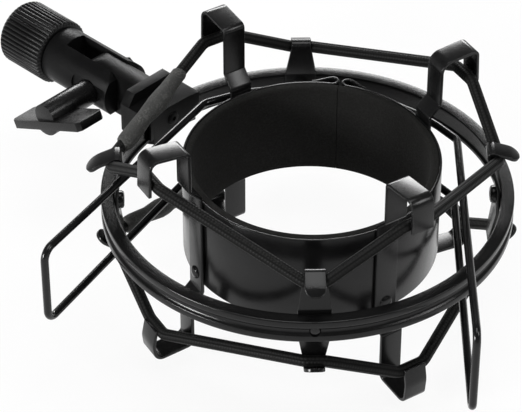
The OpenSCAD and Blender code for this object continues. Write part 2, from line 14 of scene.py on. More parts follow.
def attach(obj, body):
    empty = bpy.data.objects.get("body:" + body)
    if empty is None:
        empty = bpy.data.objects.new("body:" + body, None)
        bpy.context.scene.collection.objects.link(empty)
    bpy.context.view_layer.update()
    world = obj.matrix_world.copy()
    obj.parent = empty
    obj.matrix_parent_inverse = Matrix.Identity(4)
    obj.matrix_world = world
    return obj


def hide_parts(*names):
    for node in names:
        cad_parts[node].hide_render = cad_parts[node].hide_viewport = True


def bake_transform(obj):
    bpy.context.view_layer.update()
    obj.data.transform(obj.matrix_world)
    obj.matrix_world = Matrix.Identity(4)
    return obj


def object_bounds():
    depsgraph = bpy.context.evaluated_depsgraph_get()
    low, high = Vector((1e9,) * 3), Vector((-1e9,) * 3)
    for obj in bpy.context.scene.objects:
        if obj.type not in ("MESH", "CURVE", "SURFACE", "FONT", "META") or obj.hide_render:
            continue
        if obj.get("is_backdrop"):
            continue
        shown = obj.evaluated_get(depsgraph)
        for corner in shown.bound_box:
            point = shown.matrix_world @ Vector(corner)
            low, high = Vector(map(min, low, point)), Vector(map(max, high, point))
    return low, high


bl_info = {
    "name": "Microphone Holder",
    "version": (1, 0, 0),
    "blender": (4, 5, 0),
    "location": "View3D > Sidebar > Holder",
    "description": "Builds the finished pieces of an elastic-suspension microphone holder",
    "category": "Object",
}

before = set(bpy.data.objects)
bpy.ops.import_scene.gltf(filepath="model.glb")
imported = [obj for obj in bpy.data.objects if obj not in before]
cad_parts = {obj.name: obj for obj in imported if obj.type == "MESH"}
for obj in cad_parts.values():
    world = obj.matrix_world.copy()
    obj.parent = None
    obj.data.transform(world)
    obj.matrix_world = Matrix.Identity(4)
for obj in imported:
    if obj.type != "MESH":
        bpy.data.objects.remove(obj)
CAD_BOX = [list(corner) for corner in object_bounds()]
MM = 0.001

# Lengths from here on are in millimetres and angles in degrees, until a piece is made.
UP = np.array([0, 0, 1.0])
SIDES = ((1, "left"), (-1, "right"))
FIT = 0.1  # play between pieces that lie against each other

# Azimuths of the posts on the ring, and of the straps on the clamp, counted from its split.
POSTS = {"post_back_right": 45, "post_back_left": 135, "post_front_left": 225, "post_front_right": 315}
STRAPS = {"strap_left_rear": 46.5, "strap_left_front": 133.5, "strap_right_front": 226.5,
          "strap_right_rear": -46.5}

# Upper ends of posts bent by hand out of the common shape: shares of the lean, and of the lip's reach and drop.
BENT = {"post_back_left": (1, 1.25, 1.25), "post_front_left": (1.75, 1, 1), "post_front_right": (2, 1.15, 0.75)}
POST_FOOT, POST_NECK, POST_TAPER = 11.0, 7.0, 8.5  # widths of a post, and the height over which it narrows
LIP_FLAT, LIP_BEND, LIP_TIP = 2.2, (6.3, 2.1), (9.4, 4.6)  # reach of the flat; reach and drop of the others

# What each strap's upper and lower hook has beyond the common height and the common leg, then the radii of
# the upper hook's outer and inner bend. The lower hooks are all bent alike.
HOOKS = {"strap_left_rear": ((2, 1.6), (1, 0), (3.4, 1.4)),
         "strap_left_front": ((0, 1.4), (1.2, -0.6), (2.8, 1.4)),
         "strap_right_front": ((0, 0), (2.2, 0), (2.8, 1.6)),
         "strap_right_rear": ((0.4, 0), (1, 0), (1.8, 4.0))}
LOW_BENDS = (3.2, 2.2)
HOOK_OUT, HOOK_LEG, HOOK_STEP = 63.7, 13.0, 4.1  # outermost radius, outer leg, and stand-off from the band

LEVER_Z = 12.5  # height of the levers' wires where they enter the band's eyes
# How far each lever's handle reaches from the clamp's axis, and how low its lower bar ends.
HANDLES = {"left": (99.0, 13.3), "right": (101.5, 16.0)}
PIVOT_Y, NUT_Y = 97.7, 121.7  # distances of the swivel's pivot and of the stand nut from the ring's centre
PIN_R = 2.5  # bore for the clamping screw
SWIVEL_R, TONGUE_R = 10.3, 9.3


def size(name, default, description, low=0.0001, high=0.5):
    """A length that can be changed in the panel, in metres."""
    return FloatProperty(name=name, description=description, default=default, min=low, max=high,
                         subtype="DISTANCE", unit="LENGTH")


def tint(name, default, description):
    """A colour that can be changed in the panel."""
    return FloatVectorProperty(name=name, description=description, default=default, size=3, min=0, max=1,
                               subtype="COLOR")


class HolderSizes(bpy.types.PropertyGroup):
    """Sizes of the holder's pieces"""
    ring_outer: size("Ring outside diameter", 0.140, "Outside diameter of the outer ring")
    ring_wall: size("Ring wall", 0.0045, "Radial thickness of the outer ring")
    ring_height: size("Ring height", 0.0084, "Height of the outer ring")
    ring_shift: size("Ring offset", 0.0018, "How far the ring's centre stands off the clamp axis", 0)
    post_top: size("Post height", 0.0198, "Height of a post's top above the ring's middle")
    post_lean: size("Post lean", 0.0021, "How far a post leans inwards from its foot to its top", 0)
    post_sheet: size("Post sheet", 0.0013, "Sheet thickness of a post")
    clamp_bore: size("Clamp bore", 0.080, "Diameter that the foam holds")
    foam: size("Foam thickness", 0.0028, "Thickness of the foam lining")
    band_sheet: size("Band sheet", 0.0009, "Thickness of the clamp band")
    band_height: size("Band height", 0.035, "Height of the clamp band")
    split_angle: FloatProperty(name="Split azimuth", description="Azimuth of the band's split",
                               default=radians(30), subtype="ANGLE", unit="ROTATION")
    strap_width: size("Strap width", 0.0083, "Width of a strap")
    strap_sheet: size("Strap sheet", 0.0012, "Sheet thickness of a strap")
    hook_top: size("Hook height", 0.0422, "Height of a hook's top above the clamp's middle")
    wire: size("Lever wire", 0.0028, "Diameter of the levers' wire")
    cord: size("Cord diameter", 0.0041, "Diameter of an elastic cord")
    sleeve: size("Sleeve diameter", 0.0057, "Diameter of the sleeve over a cord's joint")
    nut: size("Nut diameter", 0.024, "Diameter of the knurled stand nut")
    knurl: IntProperty(name="Knurl grooves", description="Number of grooves round the stand nut", default=44,
                       min=12, max=90)


class HolderFinish(bpy.types.PropertyGroup):
    """Colours of the holder's finishes and of the studio"""
    powder: tint("Powder coat", (0.0042, 0.0042, 0.0043), "Textured paint on the ring, arm, wing and nut")
    satin: tint("Satin enamel", (0.0042, 0.0042, 0.0043), "Smooth paint on the band, straps and posts")
    wire: tint("Blackened wire", (0.0045, 0.0045, 0.0047), "Levers, rivets and screws")
    foam: tint("Foam", (0.0140, 0.0139, 0.0132), "Foam lining of the clamp")
    cord: tint("Cord", (0.0030, 0.0030, 0.0029), "Braid of the elastic cords")
    sleeve: tint("Sleeve", (0.046, 0.046, 0.044), "Rubber sleeve over a cord's joint")
    floor: tint("Floor", (0.90, 0.90, 0.90), "Studio floor")


# Mesh making.

def polar(r, az, z=0.0):
    """The point at a radius, an azimuth and a height."""
    a = radians(az)
    return np.array([r * cos(a), r * sin(a), z])


def unit(v):
    """The direction of a vector."""
    return v / norm(v)


def distances(path):
    """The way along a path to each of its points."""
    return np.concatenate([[0], np.cumsum(norm(np.diff(path, axis=0), axis=1))])


def corner(a, b, c, r, n):
    """Points of a round of radius r in place of the corner b between a and c."""
    u, v = unit(a - b), unit(c - b)
    half = acos(max(-1.0, min(1.0, float(u @ v)))) / 2
    o = b + unit(u + v) * r / sin(half)
    s, e = b + u * r / tan(half) - o, b + v * r / tan(half) - o
    return [o + r * unit(s * (1 - i / n) + e * i / n) for i in range(n + 1)]


def rounded(points, radii, n):
    """A path with its inner corners rounded, each by its own radius."""
    p = [np.array(q, float) for q in points]
    inner = [corner(*p[i:i + 3], r, n) for i, r in enumerate(radii)]
    return [p[0]] + [q for c in inner for q in c] + [p[-1]]


def eased(before, at, after, r, n=4):
    """One rounded corner of a profile, as pairs."""
    return [tuple(q) for q in corner(*(np.array(q, float) for q in (before, at, after)), r, n)]


def chamfered(x, y, cx, cy):
    """Outline of a rectangle of half sizes x and y with its corners cut."""
    return [(x - cx, y), (cx - x, y), (-x, y - cy), (-x, cy - y), (cx - x, -y), (x - cx, -y), (x, cy - y),
            (x, y - cy)]


def loft(rings, loop=False):
    """Verts and faces of a skin over rings of equal count, closed by end caps or into a loop."""
    n, m = len(rings), len(rings[0])
    verts = [tuple(p) for ring in rings for p in ring]
    faces = []
    for i in range(n if loop else n - 1):
        j = (i + 1) % n
        for k in range(m):
            h = (k + 1) % m
            faces.append((i * m + k, i * m + h, j * m + h, j * m + k))
    if not loop:
        faces += [tuple(range(m - 1, -1, -1)), tuple((n - 1) * m + k for k in range(m))]
    return verts, faces


def section(w, t, e, n=3):
    """Outline of a rounded rectangle w by t with corner radius e, as (across, through) pairs."""
    e = max(1e-4, min(e, w / 2 - 1e-4, t / 2 - 1e-4))
    out = []
    for sx, sy, start in ((1, 1, 0), (-1, 1, 90), (-1, -1, 180), (1, -1, 270)):
        for i in range(n + 1):
            a = radians(start + 90 * i / n)
            out.append((sx * (w / 2 - e) + e * cos(a), sy * (t / 2 - e) + e * sin(a)))
    return out


def bent_strip(path, width, t, az, centre=(0, 0, 0), edge=0.3, tip_steps=()):
    """A strip of sheet metal bent along a path of radius and height, with eased edges and ends."""
    extra = np.array([edge * (1 - cos(a)) for a in np.radians((0, 30, 60, 90))] + list(tip_steps))
    p, run = np.array(path), distances(path)
    d = np.unique(np.round(np.concatenate([run, extra, run[-1] - extra]), 4))
    d = d[(d >= 0) & (d <= run[-1])]
    q = np.stack([np.interp(d, run, p[:, 0]), np.interp(d, run, p[:, 1])], 1)
    out, side, rings = polar(1, az), polar(1, az + 90), []
    for at, g, along in zip(q, np.gradient(q, d, axis=0), d):
        normal, near = unit(np.array([-g[1], g[0]])), min(along, run[-1] - along)
        pull = edge - sqrt(max(0.0, edge ** 2 - (edge - min(near, edge)) ** 2))
        ring = []
        for a, b in section(max(width(near, at[1]) - 2 * pull, 0.2), max(t - 2 * pull, 0.1), edge):
            r, z = at + normal * b
            ring.append(np.array(centre) + out * r + side * a + UP * z)
        rings.append(ring)
    return loft(rings)


def wall(plan, t, z0, z1, edge):
    """An upright sheet along a plan path, from height z0 to z1."""
    p, outline = np.array([q[:2] for q in plan]), section(z1 - z0, t, edge)
    return loft([[(q[0] - d[1] * b, q[1] + d[0] * b, (z0 + z1) / 2 + a) for a, b in outline]
                 for q, d in zip(p, map(unit, np.gradient(p, axis=0)))])


def tube(points, ups, radius, sides):
    """A tube along points, its rings turned to the directions ups. radius is one value or a list of them."""
    p, n = [np.array(q, float) for q in points], len(points)
    radii = radius if isinstance(radius, list) else [radius] * n
    rings = []
    for i in range(n):
        t = unit(p[min(i + 1, n - 1)] - p[max(i - 1, 0)])
        s = unit(ups[i] - (ups[i] @ t) * t)
        w = np.cross(t, s)
        turns = [2 * pi * k / sides for k in range(sides)]
        rings.append([p[i] + radii[i] * (cos(a) * s + sin(a) * w) for a in turns])
    return loft(rings)


def lathe(profile, steps, start=0.0, sweep=360.0, centre=(0, 0, 0)):
    """A closed profile of radius and height turned about an upright axis."""
    full = sweep >= 360
    count = steps if full else steps + 1
    return loft([[np.array(centre) + polar(r, start + sweep * i / steps, z) for r, z in profile]
                 for i in range(count)], full)


def placed(mesh, matrix):
    """The same mesh moved by a matrix."""
    verts, faces = mesh
    return [tuple(matrix @ Vector(v)) for v in verts], faces


def joined(meshes):
    """Several meshes as one list of verts and faces."""
    verts, faces = [], []
    for v, f in meshes:
        base = len(verts)
        verts += v
        faces += [tuple(base + i for i in face) for face in f]
    return verts, faces


def turned(angle, axis):
    """Matrix of a turn by an angle about an axis."""
    return Matrix.Rotation(radians(angle), 4, axis)


def outwards(az, out=0.0, z=0.0, centre=(0, 0, 0)):
    """Matrix that turns +Z outwards at azimuth az, then moves it out and up."""
    at = Matrix.Translation(Vector(centre) + Vector((0, 0, z)))
    return at @ (turned(az, "Z") @ turned(90, "Y")) @ Matrix.Translation((0, 0, out))


def rod(r, length, axis, start, sides):
    """A plain cylinder from a point along an axis."""
    turn = {"Z": Matrix.Identity(4), "X": turned(90, "Y"), "Y": turned(-90, "X")}[axis]
    rings = [[polar(r, 360 * k / sides, z) for k in range(sides)] for z in (0, length)]
    return placed(loft(rings), Matrix.Translation(Vector(start)) @ turn)


def block(low, high):
    """A plain box between two corners."""
    v = [(x, y, z) for x in (low[0], high[0]) for y in (low[1], high[1]) for z in (low[2], high[2])]
    return v, [(0, 1, 3, 2), (4, 6, 7, 5), (0, 4, 5, 1), (2, 3, 7, 6), (0, 2, 6, 4), (1, 5, 7, 3)]


def slab(outline, axis, low, high):
    """An outline drawn out along an axis, 0 to 2, between two places."""
    return loft([[(*q[:axis], h, *q[axis:]) for q in outline] for h in (low, high)])


def linked(name, data):
    """A new object in the scene."""
    obj = bpy.data.objects.new(name, data)
    bpy.context.scene.collection.objects.link(obj)
    return obj


def made(name, mesh, scale=1.0, angle=40):
    """A new object from verts and faces, turned outwards and smooth but for edges sharper than the angle."""
    data = bpy.data.meshes.new(name)
    data.from_pydata([tuple(float(c) * scale for c in v) for v in mesh[0]], [], mesh[1])
    data.validate()
    bm = bmesh.new()
    bm.from_mesh(data)
    bmesh.ops.recalc_face_normals(bm, faces=bm.faces)
    for face in bm.faces:
        face.smooth = True
    for e in bm.edges:
        e.smooth = len(e.link_faces) == 2 and e.calc_face_angle(0) < radians(angle)
    bm.to_mesh(data)
    bm.free()
    return linked(name, data)


def coat(obj, look):
    """Gives an object the finish of that name and no other."""
    obj.data.materials.clear()
    obj.data.materials.append(finish(look))


def piece(name, mesh, look, body, cad_node, angle=40):
    """A finished piece that stands for a CAD node. It rides on a body, or is left unattached if that is None.
    """
    obj = made(name, mesh, MM, angle)
    coat(obj, look)
    if body:
        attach(obj, body)
    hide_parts(cad_node)
    return obj


def carved(base, cuts=(), adds=(), edge=0.4, steps=2, angle=32):
    """Verts and faces of a base joined with adds, less cuts, with its sharp edges rounded."""
    body = made("scratch", base)
    tools = [(made("scratch", m), "UNION") for m in adds] + [(made("scratch", m), "DIFFERENCE") for m in cuts]
    for tool, way in tools:
        mod = body.modifiers.new("cut", "BOOLEAN")
        mod.object, mod.operation, mod.solver = tool, way, "EXACT"
    weld = body.modifiers.new("weld", "WELD")
    weld.merge_threshold = 0.005
    if edge:
        bevel = body.modifiers.new("edge", "BEVEL")
        bevel.width, bevel.segments, bevel.limit_method = edge, steps, "ANGLE"
        bevel.angle_limit = radians(angle)
        bevel.use_clamp_overlap = True
    bpy.context.view_layer.update()
    done = body.evaluated_get(bpy.context.evaluated_depsgraph_get())
    data = bpy.data.meshes.new_from_object(done)
    result = [tuple(v.co) for v in data.vertices], [tuple(p.vertices) for p in data.polygons]
    bpy.data.meshes.remove(data)
    for o in [body] + [t for t, _ in tools]:
        scrap = o.data
        bpy.data.objects.remove(o)
        bpy.data.meshes.remove(scrap)
    return result


def holder():
    """The holder's sizes in millimetres and the measures worked out from them."""
    p, pin_play, half_gap = bpy.context.scene.holder_sizes, 0.05, 0.5
    lengths = [k for k in HolderSizes.__annotations__ if k not in ("split_angle", "knurl")]
    s = SimpleNamespace(**{k: getattr(p, k) / MM for k in lengths})
    s.knurl, s.split = p.knurl, degrees(p.split_angle)
    s.ro = s.ring_outer / 2
    s.ri = s.ro - s.ring_wall
    s.centre = np.array([0, s.ring_shift, 0])
    s.face = sqrt((s.ri - FIT) ** 2 - (POST_FOOT / 2) ** 2)
    s.foam_in = s.clamp_bore / 2
    s.band_in = s.foam_in + s.foam
    s.band_out = s.band_in + s.band_sheet
    s.eye_in = s.wire / 2 + pin_play
    s.eye_out = s.eye_in + s.band_sheet
    s.eye_r = s.band_in + s.eye_out
    s.eye_az = degrees(asin((s.eye_out + half_gap) / s.eye_r))
    s.strap_in = s.band_out + FIT
    s.strap_mid = s.strap_in + s.strap_sheet / 2
    s.strap_out = s.strap_in + s.strap_sheet
    s.pivot = PIVOT_Y + s.ring_shift
    s.post_mid = s.face - s.post_sheet / 2
    s.post_bend = s.post_top - s.post_sheet / 2
    s.shoulder = s.ring_height / 2 + 1
    return s


# Shader effects shared by several finishes.

def feed(tree, n, inputs):
    """Links inputs of a node to other sockets, or sets them to a colour or a plain value."""
    for key, value in inputs.items():
        if isinstance(value, bpy.types.NodeSocket):
            tree.links.new(value, n.inputs[key])
        else:
            n.inputs[key].default_value = (*value, 1) if isinstance(value, tuple) else value


def node(tree, kind, inputs=None, **settings):
    """The outputs of a new shader node with the settings and inputs given."""
    n = tree.nodes.new("ShaderNode" + kind)
    for key, value in settings.items():
        setattr(n, key, value)
    feed(tree, n, inputs or {})
    return n.outputs


def calc(tree, op, *values):
    """The result of a math node."""
    return node(tree, "Math", dict(enumerate(values)), operation=op)[0]


def noise(tree, vector, scale, detail, rough=0.5):
    """The value of a noise texture."""
    inputs = {"Vector": vector, "Scale": scale, "Detail": detail, "Roughness": rough}
    return node(tree, "TexNoise", inputs)["Fac"]


def remap(tree, value, low, high, to_low=0.0, to_high=1.0):
    """A value moved from one range to another, and kept inside it."""
    inputs = {"Value": value, "From Min": low, "From Max": high, "To Min": to_low, "To Max": to_high}
    return node(tree, "MapRange", inputs)["Result"]


def mix(tree, fac, a, b):
    """A colour between a and b."""
    return node(tree, "Mix", {0: fac, 6: a, 7: b}, data_type="RGBA")[2]


def new_group(name, outputs, **inputs):
    """A shader group with a Vector and named values going in, and named values coming out."""
    g = bpy.data.node_groups.new(name, "ShaderNodeTree")
    g.interface.new_socket(name="Vector", in_out="INPUT", socket_type="NodeSocketVector")
    for label, value in inputs.items():
        g.interface.new_socket(name=label, in_out="INPUT", socket_type="NodeSocketFloat").default_value = value
    for label in outputs:
        g.interface.new_socket(name=label, in_out="OUTPUT", socket_type="NodeSocketFloat")
    return g, g.nodes.new("NodeGroupInput").outputs, g.nodes.new("NodeGroupOutput")


def grain_group(name):
    """Fine pebbled texture of a powder coat, or the pores of foam. Grain is in lumps to a millimetre."""
    g, i, o = new_group(name, ("Height", "Speckle"), Grain=2.0)
    coarse = noise(g, i["Vector"], i["Grain"], 3.0, 0.6)
    fine = noise(g, i["Vector"], calc(g, "MULTIPLY", i["Grain"], 2.7), 1.0)
    height = calc(g, "MULTIPLY_ADD", fine, 0.5, coarse)
    feed(g, o, {"Height": height, "Speckle": remap(g, coarse, 0.42, 0.62)})
    return g


def mottle_group(name):
    """Slow, uneven change over a surface, for handling marks and uneven colour."""
    g, i, o = new_group(name, ("Mask",), Patch=0.12)
    slow = noise(g, i["Vector"], i["Patch"], 4.0, 0.62)
    quick = noise(g, i["Vector"], calc(g, "MULTIPLY", i["Patch"], 6.0), 2.0)
    feed(g, o, {"Mask": remap(g, calc(g, "MULTIPLY_ADD", quick, 0.35, slow), 0.45, 0.85)})
    return g


def wear_group(name):
    """Paint rubbed thin along edges, broken up by noise."""
    g, i, o = new_group(name, ("Mask",), Reach=0.5)
    edge = remap(g, node(g, "NewGeometry")["Pointiness"], 0.53, 0.64)
    broken = remap(g, noise(g, i["Vector"], 0.9, 4.0, 0.6), 0.4, 0.7)
    feed(g, o, {"Mask": calc(g, "MULTIPLY", calc(g, "MULTIPLY", edge, broken), i["Reach"])})
    return g


def braid_group(name):
    """Ribs along a knitted cover, each a row of stitches. Vector holds turns round the cord and millimetres
    along it."""
    g, i, o = new_group(name, ("Height", "Gap"), Ribs=8.0, Stitch=1.0)
    spot = node(g, "SeparateXYZ", {0: i["Vector"]})

    def wave(value):
        return calc(g, "ABSOLUTE", calc(g, "SINE", calc(g, "MULTIPLY", value, pi)))

    turn = calc(g, "MULTIPLY", spot["X"], i["Ribs"])
    along = calc(g, "DIVIDE", spot["Y"], i["Stitch"])
    row = calc(g, "MULTIPLY_ADD", calc(g, "FLOOR", turn), 0.5, along)
    height = calc(g, "MULTIPLY", wave(turn), calc(g, "MULTIPLY_ADD", wave(row), 0.5, 0.5))
    # The gap mask is for painted shade: it is highest where the braid lies lowest.
    feed(g, o, {"Height": height, "Gap": remap(g, height, 0.75, 0.3)})
    return g


EFFECTS = {"fine_grain": grain_group, "uneven_tone": mottle_group, "edge_wear": wear_group,
           "braid": braid_group}
GROUPS = {}


def effect(tree, name, vector, **values):
    """Places a shared effect in a material, with its own values."""
    if name not in GROUPS:
        GROUPS[name] = EFFECTS[name](name)
    return node(tree, "Group", {"Vector": vector, **values}, node_tree=GROUPS[name])


# Finishes.

def blank(name):
    """A new material, its tree, its shader, object coordinates in millimetres and the UVs."""
    m = bpy.data.materials.new(name)
    m.use_nodes = True
    t = m.node_tree
    where = node(t, "TexCoord")
    at = node(t, "VectorMath", {0: where["Object"], "Scale": 1 / MM}, operation="SCALE")[0]
    return m, t, t.nodes["Principled BSDF"], at, where["UV"]


def surface(t, shader, colour, rough, specular, height, relief, depth):
    """Gives a shader its colour, roughness, reflectance and bumps."""
    bump = node(t, "Bump", {"Strength": relief, "Distance": depth, "Height": height})[0]
    feed(t, shader, {"Base Color": colour, "Roughness": rough, "Specular IOR Level": specular, "Normal": bump})


def lighter(colour, k):
    """A colour made lighter or darker."""
    return tuple(min(1.0, v * k) for v in colour)


BARE_METAL = (0.30, 0.30, 0.30)


def painted(name, colour, rough, grain, relief, wear, specular):
    """Black paint on metal: grain or orange peel, uneven gloss and rubbed edges."""
    m, t, shader, at, _ = blank(name)
    fine = effect(t, "fine_grain", at, Grain=grain)
    tone = effect(t, "uneven_tone", at, Patch=0.11)
    rub = effect(t, "edge_wear", at, Reach=wear)
    base = mix(t, tone["Mask"], lighter(colour, 0.8), lighter(colour, 1.25))
    base = mix(t, rub["Mask"], base, BARE_METAL)
    feed(t, shader, {"Metallic": rub["Mask"]})
    gloss = calc(t, "MULTIPLY_ADD", fine["Speckle"], 0.15 * relief, rough - 0.05)
    gloss = calc(t, "MULTIPLY_ADD", tone["Mask"], 0.05, gloss)
    surface(t, shader, base, gloss, specular, fine["Height"], relief, 0.1 * MM)
    return m


def soft(name, colour, grain, patch, tones, pores, rough_by, rough, specular, depth):
    """Foam or rubber: uneven tone, dark pores, and a roughness that follows the one or the other."""
    m, t, shader, at, _ = blank(name)
    fine = effect(t, "fine_grain", at, Grain=grain)
    tone = effect(t, "uneven_tone", at, Patch=patch)
    base = mix(t, tone["Mask"], *(lighter(colour, k) for k in tones))
    base = mix(t, fine["Speckle"], lighter(colour, pores), base)
    guide = tone["Mask"] if rough_by == "tone" else fine["Speckle"]
    surface(t, shader, base, remap(t, guide, 0, 1, *rough), specular, fine["Height"], 0.6, depth * MM)
    return m


def braided(name, colour):
    """Knitted cover of a cord, with painted shade in the gaps between the stitches and a painted highlight on
    the strands' crowns.
    """
    m, t, shader, at, uv = blank(name)
    strands = effect(t, "braid", uv, Ribs=8.0, Stitch=1.1)
    fibre = effect(t, "fine_grain", at, Grain=5.0)
    # Painted highlight and painted shade: the base is lighter on the strands' crowns and darker in the gaps
    # between them.
    base = mix(t, strands["Gap"], lighter(colour, 2.2), lighter(colour, 0.3))
    base = mix(t, calc(t, "MULTIPLY", fibre["Speckle"], 0.2), base, lighter(colour, 3))
    rough = remap(t, strands["Height"], 0, 1, 0.85, 0.5)
    surface(t, shader, base, rough, 0.16, strands["Height"], 1.0, 0.25 * MM)
    return m


# Each finish: how it is made, its material, its colour in the panel, then the values that its maker takes.
FINISHES = {
    "powder": (painted, "powder_coat", "powder", 0.35, 3.0, 0.45, 0.0, 0.18),
    "rim": (painted, "ring_paint", "powder", 0.20, 3.0, 0.25, 0.3, 0.26),
    "casting": (painted, "casting_paint", "powder", 0.36, 3.0, 0.45, 0.0, 0.08),
    "grip": (painted, "grip_paint", "powder", 0.28, 3.0, 0.2, 0.0, 0.27),
    "satin": (painted, "satin_enamel", "satin", 0.26, 0.7, 0.03, 0.2, 0.30),
    "band": (painted, "band_enamel", "satin", 0.22, 0.7, 0.03, 0.0, 0.26),
    "wire": (painted, "blackened_wire", "wire", 0.20, 1.0, 0.03, 0.0, 0.32),
    "foam": (soft, "clamp_foam", "foam", 1.5, 0.07, (0.88, 1.12), 0.8, "pores", (1.0, 0.9), 0.08, 0.2),
    "sleeve": (soft, "joint_rubber", "sleeve", 1.6, 0.3, (0.35, 2.1), 0.7, "tone", (0.6, 0.85), 0.35, 0.3),
    "cord": (braided, "elastic_braid", "cord"),
}
MATERIALS = {}


def finish(look):
    """The material of a finish, made on first use from the colours in the panel."""
    if look not in MATERIALS:
        make, name, colour, *values = FINISHES[look]
        MATERIALS[look] = make(name, getattr(bpy.context.scene.holder_finish, colour), *values)
    return MATERIALS[look]


# Pieces.

class Step(bpy.types.Operator):
    """Base of the operators that build one group of pieces"""
    bl_options = {"REGISTER", "UNDO"}

    def execute(self, context):
        self.build(holder())
        return {"FINISHED"}


class HOLDER_OT_ring(Step):
    """Outer ring, turned with two rounded ridges outside and a channel inside"""
    bl_idname = "holder.ring"
    bl_label = "Outer ring"

    def build(self, s):
        ro, ri, h = s.ro, s.ri, s.ring_height / 2
        groove_r, groove_out, channel = 1.7, 0.5, 0.7
        groove = [(ro + groove_out - groove_r * cos(k), -groove_r * sin(k))
                  for k in np.radians(range(-68, 69, 17))]
        inner = [(ri, 1.3 - h), (ri + channel, 1.6 - h), (ri + channel, h - 1.6), (ri, h - 1.3)]
        ridge = eased((ri, h), (ro, h), (ro, 2.0), 0.6) + [(ro, 2.1), (ro - 0.06, 1.78)]
        outline = ridge + groove + [(r, -z) for r, z in reversed(ridge)]
        outline += eased((ro, -h), (ri, -h), inner[0], 0.4) + inner + eased(inner[-1], (ri, h), (ro, h), 0.4)
        screw_hole = rod(1.9, 4, "Z", (0, 0, ro - 2.0), 32)
        holes = [placed(screw_hole, outwards(az, centre=s.centre)) for az in POSTS.values()]
        mesh = carved(lathe(outline, 192, centre=s.centre), holes, edge=0)
        piece("ring_rim", mesh, "rim", "frame", "outer_ring")


def post_bend(s, name, way):
    """Radius of the bend at a post's upper (1) or lower (-1) end, and shares of the lip's reach and drop."""
    lean, reach, drop = BENT.get(name, (1, 1, 1)) if way > 0 else (1, 1, 1)
    return s.post_mid - s.post_lean * lean, reach, drop


def post_end(s, name, way):
    """Side view of one end of a post, from the tip of its lip to where its neck starts."""
    (r, reach, drop), z = post_bend(s, name, way), s.post_bend
    lip = [(r + out * reach, way * (z - down * drop)) for out, down in (LIP_TIP, LIP_BEND)]
    return lip + [(r + LIP_FLAT, way * z), (r, way * z), (s.post_mid, way * s.shoulder)]


class HOLDER_OT_posts(Step):
    """Posts bent from sheet, with spoon-shaped lips, and the screws that hold them"""
    bl_idname = "holder.posts"
    bl_label = "Posts"

    def build(self, s):
        r = POST_NECK / 2

        def width(near, z):
            """Width of the sheet at a distance from its nearer end and at a height."""
            if near < r:
                return 2 * sqrt(max(0.0, r * r - (r - near) ** 2)) + 0.02
            taper = min(1.0, max(0.0, (abs(z) - s.shoulder) / POST_TAPER))
            return POST_FOOT + (POST_NECK - POST_FOOT) * taper

        tips = [r * (1 - cos(a)) for a in np.radians(range(0, 91, 9))]
        bends = [13, 1.4, 1.2, 4]
        for name, az in POSTS.items():
            path = rounded(post_end(s, name, 1) + post_end(s, name, -1)[::-1], bends + bends[::-1], 8)
            mesh = bent_strip(path, width, s.post_sheet, az, s.centre, 0.28, tips)
            piece(name + "_sheet", mesh, "satin", "frame", name, 45)
        seat = s.post_mid - s.post_sheet / 2
        head = [(0.01, -1.8), (2.1, -1.8), (2.75, -1.55), (3.05, -1.0), (3.1, 0), (1.5, 0)]
        # The far end is a low dome in the ring's groove, given by its depths below the ring's outside.
        dome = [(1.5, 2.2), (1.65, 2.1), (1.65, 0.9), (1.5, 0.62), (1.1, 0.45), (0.5, 0.38), (0.01, 0.37)]
        shank = [(q, s.ro - depth - seat) for q, depth in dome]
        screw = carved(lathe(head + shank, 40), [rod(1.2, 1.0, "Z", (0, 0, -2.0), 6)], edge=0)
        screws = [placed(screw, outwards(az, seat, centre=s.centre)) for az in POSTS.values()]
        piece("post_fixings", joined(screws), "wire", "frame", "post_screws", 35)


def hook_path(s, name):
    """Side view of a strap: flat on the band, a step outwards, then a square hook at each end."""
    foot, mid = s.band_height / 2 + 2.6, s.strap_mid
    leg, out = HOOK_OUT - s.strap_sheet / 2, mid + HOOK_STEP
    *ends, top_bends = HOOKS[name]
    path = []
    # The end of a lower hook is bent a little inwards.
    for way, (rise, longer) in zip((1, -1), ends):
        top, end = s.hook_top - s.strap_sheet / 2 - 0.25 + rise, s.hook_top - HOOK_LEG - longer
        lip = [(leg, end)] if way > 0 else [(leg - 0.9, end), (leg + 0.3, end + 6.2)]
        half = lip + [(leg - 0.5, top), (out, top - 1.3), (out, foot + HOOK_STEP), (mid, foot)]
        path += [(r, way * z) for r, z in half[::way]]
    return rounded(path, [*top_bends, 1.2, 1.2, 1.2, 1.2, *LOW_BENDS[::-1], 9.0], 10)


class HOLDER_OT_straps(Step):
    """Straps with their hooks, and the rivets that hold them to the band"""
    bl_idname = "holder.straps"
    bl_label = "Straps"

    def build(self, s):
        head_r, head_h, shank_r, rivet_z = 2.3, 1.15, 1.25, 13.5
        inner_end = s.band_in + FIT - s.strap_out
        dome = [(head_r * sin(a), head_h * cos(a) ** 0.8) for a in np.radians(range(15, 90, 12))]
        shank = [(head_r, 0.02), (shank_r, 0), (shank_r, inner_end), (0.01, inner_end)]
        rivet = lathe([(0.01, head_h)] + dome + shank, 28)
        for name, rel in STRAPS.items():
            mesh = bent_strip(hook_path(s, name), lambda near, z: s.strap_width, s.strap_sheet,
                              s.split + rel)
            jaw = "left_jaw" if "left" in name else "right_jaw"
            piece(name + "_strip", mesh, "satin", jaw, name, 45)
        for _, side in SIDES:
            rivets = [placed(rivet, outwards(s.split + rel, s.strap_out, z))
                      for name, rel in STRAPS.items() if side in name for z in (-rivet_z, rivet_z)]
            piece("rivet_heads_" + side, joined(rivets), "wire", side + "_jaw", "rivets_" + side,
                  50)


def on_split(mesh, s, side):
    """Turns a mesh made with the split along +X into place, mirrored for the right side."""
    return placed(mesh, turned(s.split, "Z") @ Matrix.Diagonal((1, side, 1, 1)))


def jaw_bend(obj):
    """Bakes the placement of one half of the band or foam into its mesh."""
    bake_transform(obj)


